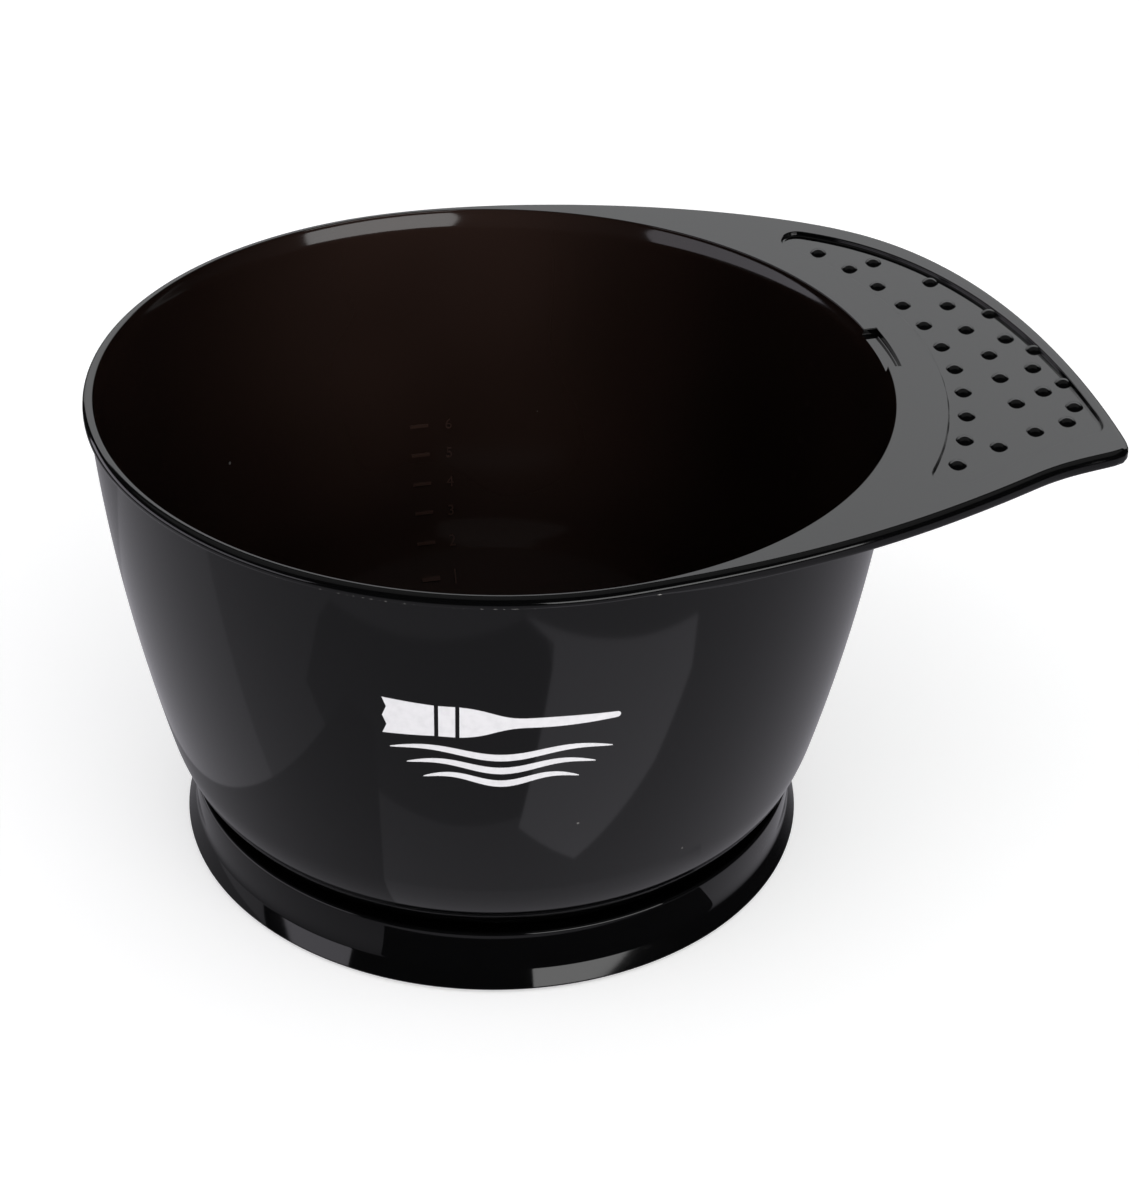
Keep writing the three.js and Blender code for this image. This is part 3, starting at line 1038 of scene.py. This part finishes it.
def gloss_foot():
    """The foot's polished black, more handled and dustier than the bowl."""
    f = settings("finish")
    material, n, body, place = new_material("gloss_black_foot", IOR=1.47)
    dust = use(n, dust_specks(), place, Scale=420, Sparseness=0.9, Size=0.085)
    nick = use(n, rubbed_edge(), place, Height=FOOT_LOW.z + 0.15 * MM, Width=0.12 * MM, Rarity=0.62)
    pale = n.value("MAXIMUM", n.value("MULTIPLY", dust, 0.4), n.value("MULTIPLY", nick, 0.5))
    n.link(n.mix(pale, tuple(f.black), tuple(f.dust)), body.inputs["Base Color"])
    line = use(n, hairlines(), place, Width=0.0016)
    rough = n.value("MULTIPLY_ADD", line, 0.07, f.gloss - 0.02)
    n.link(n.value("MULTIPLY_ADD", pale, 0.5, rough), body.inputs["Roughness"])
    bump(n, body, ripple(n, place, 60, 1500, 0.01), 0.02 * MM)
    return material


def matte_rubber():
    """Dull black rubber with a fine stipple."""
    f = settings("finish")
    material, n, body, place = new_material("matte_black_rubber", IOR=1.5)
    dust = use(n, dust_specks(), place, Scale=500, Sparseness=0.85, Size=0.1)
    dust = n.value("MULTIPLY", dust, 0.3)
    n.link(n.mix(dust, tuple(f.rubber), tuple(f.dust)), body.inputs["Base Color"])
    stipple = ripple(n, place, 900, 3500, 0.5)
    n.link(n.spread(stipple, 0.3, 1.1, 0.68, 0.85), body.inputs["Roughness"])
    bump(n, body, stipple, 0.05 * MM)
    return material


def printed_ink():
    """Pale screen-printing ink, slightly uneven."""
    f = settings("finish")
    material, n, body, place = new_material("pale_printed_ink", IOR=1.45)
    cloud = n.noise(place, 700, 3)
    thin = n.spread(cloud, 0.35, 0.75, 0.0, 0.16)
    n.link(n.mix(thin, tuple(f.ink), (0.3, 0.3, 0.31)), body.inputs["Base Color"])
    n.link(n.spread(cloud, 0.3, 0.7, 0.32, 0.45), body.inputs["Roughness"])
    bump(n, body, cloud, 0.006 * MM)
    return material


# ---- the stage ------------------------------------------------------------------------------


def glow_material(name, strength, tint=(1, 1, 1), top=None, steep=None):
    """A plain glowing surface.

    With a top, strength and top are the glow at z = 0 and at one metre up. A steep one glows
    only towards what looks steeply down on it, as a table does that mirrors a dark room; its
    two numbers are the sines of the angles at which the glow starts and is full.
    """
    material = bpy.data.materials.new(name)
    material.use_nodes = True
    tree = material.node_tree
    tree.nodes.clear()
    n = Nodes(tree)
    emit, out = n.add("Emission"), n.add("OutputMaterial")
    emit.inputs["Color"].default_value = (*tint, 1)
    emit.inputs["Strength"].default_value = strength
    if top is not None:
        part = n.add("SeparateXYZ")
        n.link(n.add("TexCoord").outputs["Object"], part.inputs["Vector"])
        rise = n.value("MULTIPLY_ADD", part.outputs["Z"], top - strength, strength)
        n.link(rise, emit.inputs["Strength"])
    if steep:
        facing = n.value("SUBTRACT", 1.0, n.add("LayerWeight").outputs["Facing"])
        n.link(n.spread(facing, *steep, 0.02, strength), emit.inputs["Strength"])
    n.link(emit.outputs[0], out.inputs["Surface"])
    return material


def panel(name, centre, target, width, height, *glow):
    """A glowing panel that faces a target; it lights and is reflected, but isn't seen itself."""
    bpy.ops.mesh.primitive_plane_add(size=1)
    piece = bpy.context.object
    piece.name = name
    piece.scale = (width, height, 1)
    facing = (Vector(target) - Vector(centre)).to_track_quat("Z", "Y")
    piece.rotation_euler = facing.to_euler()
    piece.location = centre
    place_applied(piece)
    piece.data.materials.append(glow_material(name, *glow))
    piece.visible_camera = False


def table_card(name, points, drop, strength, steep=(0.22, 0.6)):
    """A flat patch of the table that only reflections see; points and drop are in millimetres."""
    piece = loop(name, [(x * MM, y * MM, -drop * MM) for x, y in points], filled=True)
    piece.data.materials.append(glow_material(name, strength, (0.98, 0.96, 1.04), steep=steep))
    piece.visible_camera = False
    piece.visible_diffuse = False
    piece.visible_shadow = False


def towards(turn, rise, far):
    """A point at a distance from the bowl, turned from the front and raised, in degrees."""
    t, r = math.radians(turn), math.radians(rise)
    way = Vector((math.sin(t) * math.cos(r), -math.cos(t) * math.cos(r), math.sin(r)))
    return AXIS + Vector((0, 0, HEIGHT / 2)) + way * far


def make_stage():
    """The pale floor, the backdrop and softboxes, the world and the camera."""
    studio = settings("studio")
    scene = bpy.context.scene
    scene.view_settings.view_transform = "Standard"

    bpy.ops.mesh.primitive_plane_add(size=12)
    floor = bpy.context.object
    floor.name = "pale_floor"
    material, n, body, place = new_material("pale_floor", Roughness=0.9, Specular_IOR_Level=0.2)
    cloud = n.mix(n.noise(place, 3, 2), (0.90, 0.90, 0.90), (0.93, 0.93, 0.93))
    n.link(cloud, body.inputs["Base Color"])
    body.inputs["Emission Color"].default_value = (1, 1, 1, 1)
    body.inputs["Emission Strength"].default_value = studio.floor
    floor.data.materials.append(material)
    floor.visible_glossy = False

    far, dark, light, side = 6000, 0.76, 1.85, 1.25  # shares of the table's glow
    table_card("table", [(-far, -far), (far, -far), (far, far), (-far, far)], 3, studio.table)
    shade = [(-112, -112), (-112, -124), (2, -156), (14, -143), (14, -129), (8, -100)]
    shade += [(-2, -84), (-30, -80), (-70, -78), (-98, -85)]
    table_card("table_shade", shade, 2, studio.table * dark)
    gleam = [(3, -157), (17, -139), (14, -129), (-8, -80), (6, -68), (41, -74)]
    gleam += [(73, -84), (92, -97)]
    table_card("table_gleam", gleam, 1, studio.table * light)
    left = [(-250, -48), (-68, -48), (-68, 60), (-250, 60)]
    table_card("table_left", left, 1.5, studio.table * side, steep=None)
    beside = [(-80, 60), (-80, -95), (-64, -95), (-42, -60), (0, 0), (0, 60)]
    table_card("table_beside_foot", beside, 0.3, studio.table * 0.7, steep=None)

    # painted shadow: the table in front of the foot, shaded by the bowl, glows dark to the foot's
    # skirt, which sees it slantwise, and bright only to steep views from the wall above
    front = [(0, 0), *arc((0, 0), 64, -140, -40, 24)]
    front = [(1000 * AXIS.x + x, 1000 * AXIS.y + y) for x, y in front]
    table_card("table_shadow_before_foot", front, 0.5, studio.table * 1.1, steep=(0.7, 0.88))

    middle, cool, violet = towards(0, 0, 0), (0.985, 0.995, 1.01), (0.98, 0.95, 1.04)
    low, high = studio.backdrop_low, studio.backdrop_high
    panel("ceiling", (0, 0.7, 1.7), (0, 0.7, 0), 3.0, 1.6, studio.ceiling)
    panel("backdrop", (0.25, 1.3, 0.56), (0.25, 0, 0.56), 2.6, 1.12, low, cool, high)
    panel("front_softbox", towards(36, 15.5, 1.1), middle, 0.92, 0.48, studio.key)
    panel("left_screen", towards(-88, 10, 1.2), middle, 2.1, 0.6, studio.side, violet)

    world = bpy.data.worlds.new("studio_room")
    scene.world = world
    world.use_nodes = True
    tree = world.node_tree
    tree.nodes.clear()
    wn = Nodes(tree)
    path = wn.add("LightPath")
    seen, room = wn.add("Background"), wn.add("Background")
    seen.inputs["Color"].default_value = (0.93, 0.93, 0.93, 1)
    room.inputs["Color"].default_value = (0.5, 0.5, 0.52, 1)
    either = wn.value("MAXIMUM", path.outputs["Is Camera Ray"], path.outputs["Is Diffuse Ray"])
    room.inputs["Strength"].default_value = 0.04
    seen.inputs["Strength"].default_value = 1.0
    choose, out = wn.add("MixShader"), tree.nodes.new("ShaderNodeOutputWorld")
    wn.link(either, choose.inputs[0])
    wn.link(room.outputs[0], choose.inputs[1])
    wn.link(seen.outputs[0], choose.inputs[2])
    wn.link(choose.outputs[0], out.inputs["Surface"])

    bpy.ops.object.camera_add()
    camera = bpy.context.object
    camera.name = "camera"
    camera.data.lens = studio.focal / MM
    camera.data.sensor_width = 36
    camera.data.sensor_fit = "HORIZONTAL"
    spot = AXIS + Vector((0, -348.57, 268.69)) * MM
    target = AXIS + Vector((12.52, 0, 39.63)) * MM
    look = (target - spot).to_track_quat("-Z", "Y").to_matrix()
    roll = Matrix.Rotation(studio.roll, 3, "Z")
    camera.matrix_world = Matrix.Translation(spot) @ (look @ roll).to_4x4()
    scene.camera = camera


# ---- operators, panel and registration ------------------------------------------------------


class ColourBowlOperator:
    """Shared by the operators below: runs one maker and reports it done."""

    bl_options = {"REGISTER", "UNDO"}
    maker = None

    def execute(self, context):
        type(self).maker()
        return {"FINISHED"}


class COLOURBOWL_OT_stage(ColourBowlOperator, bpy.types.Operator):
    """Make the floor, the lights, the world and the camera"""

    bl_idname = "colourbowl.stage"
    bl_label = "Stage"
    maker = make_stage


class COLOURBOWL_OT_bowl(ColourBowlOperator, bpy.types.Operator):
    """Make the bowl with its handle, recess, domes, notch and volume scale"""

    bl_idname = "colourbowl.bowl"
    bl_label = "Bowl"
    maker = make_bowl


class COLOURBOWL_OT_foot_ring(ColourBowlOperator, bpy.types.Operator):
    """Make the flared foot ring"""

    bl_idname = "colourbowl.foot_ring"
    bl_label = "Foot ring"
    maker = make_foot_ring


class COLOURBOWL_OT_grip_ring(ColourBowlOperator, bpy.types.Operator):
    """Make the rubber ring under the foot"""

    bl_idname = "colourbowl.grip_ring"
    bl_label = "Rubber ring"
    maker = make_grip_ring


class COLOURBOWL_OT_printed_mark(ColourBowlOperator, bpy.types.Operator):
    """Make the plain brush pictogram on the front"""

    bl_idname = "colourbowl.printed_mark"
    bl_label = "Printed mark"
    maker = make_printed_mark


GROUPS = (
    ("vessel", VesselSizes),
    ("handle", HandleSizes),
    ("scale", ScaleSizes),
    ("foot", FootSizes),
    ("printed", PrintSizes),
    ("finish", Finish),
    ("studio", Studio),
)
OPERATORS = (
    COLOURBOWL_OT_stage,
    COLOURBOWL_OT_bowl,
    COLOURBOWL_OT_foot_ring,
    COLOURBOWL_OT_grip_ring,
    COLOURBOWL_OT_printed_mark,
)


class COLOURBOWL_PT_main(bpy.types.Panel):
    """Lists the makers and the sizes they use"""

    bl_label = "Colour Bowl"
    bl_idname = "COLOURBOWL_PT_main"
    bl_space_type = "VIEW_3D"
    bl_region_type = "UI"
    bl_category = "Colour Bowl"

    def draw(self, context):
        for operator in OPERATORS:
            self.layout.operator(operator.bl_idname)
        for name, group in GROUPS:
            box = self.layout.box()
            box.label(text=name.capitalize())
            for field in group.__annotations__:
                box.prop(getattr(context.scene, name), field)


def register():
    for name, group in GROUPS:
        bpy.utils.register_class(group)
        setattr(bpy.types.Scene, name, PointerProperty(type=group))
    for cls in (*OPERATORS, COLOURBOWL_PT_main):
        bpy.utils.register_class(cls)


def unregister():
    for cls in (COLOURBOWL_PT_main, *reversed(OPERATORS)):
        bpy.utils.unregister_class(cls)
    for name, group in reversed(GROUPS):
        delattr(bpy.types.Scene, name)
        bpy.utils.unregister_class(group)


def main():
    register()
    bpy.ops.colourbowl.stage()
    bpy.ops.colourbowl.bowl()
    bpy.ops.colourbowl.foot_ring()
    bpy.ops.colourbowl.grip_ring()
    bpy.ops.colourbowl.printed_mark()
    bpy.ops.object.select_all(action="DESELECT")


if __name__ == "__main__":
    main()
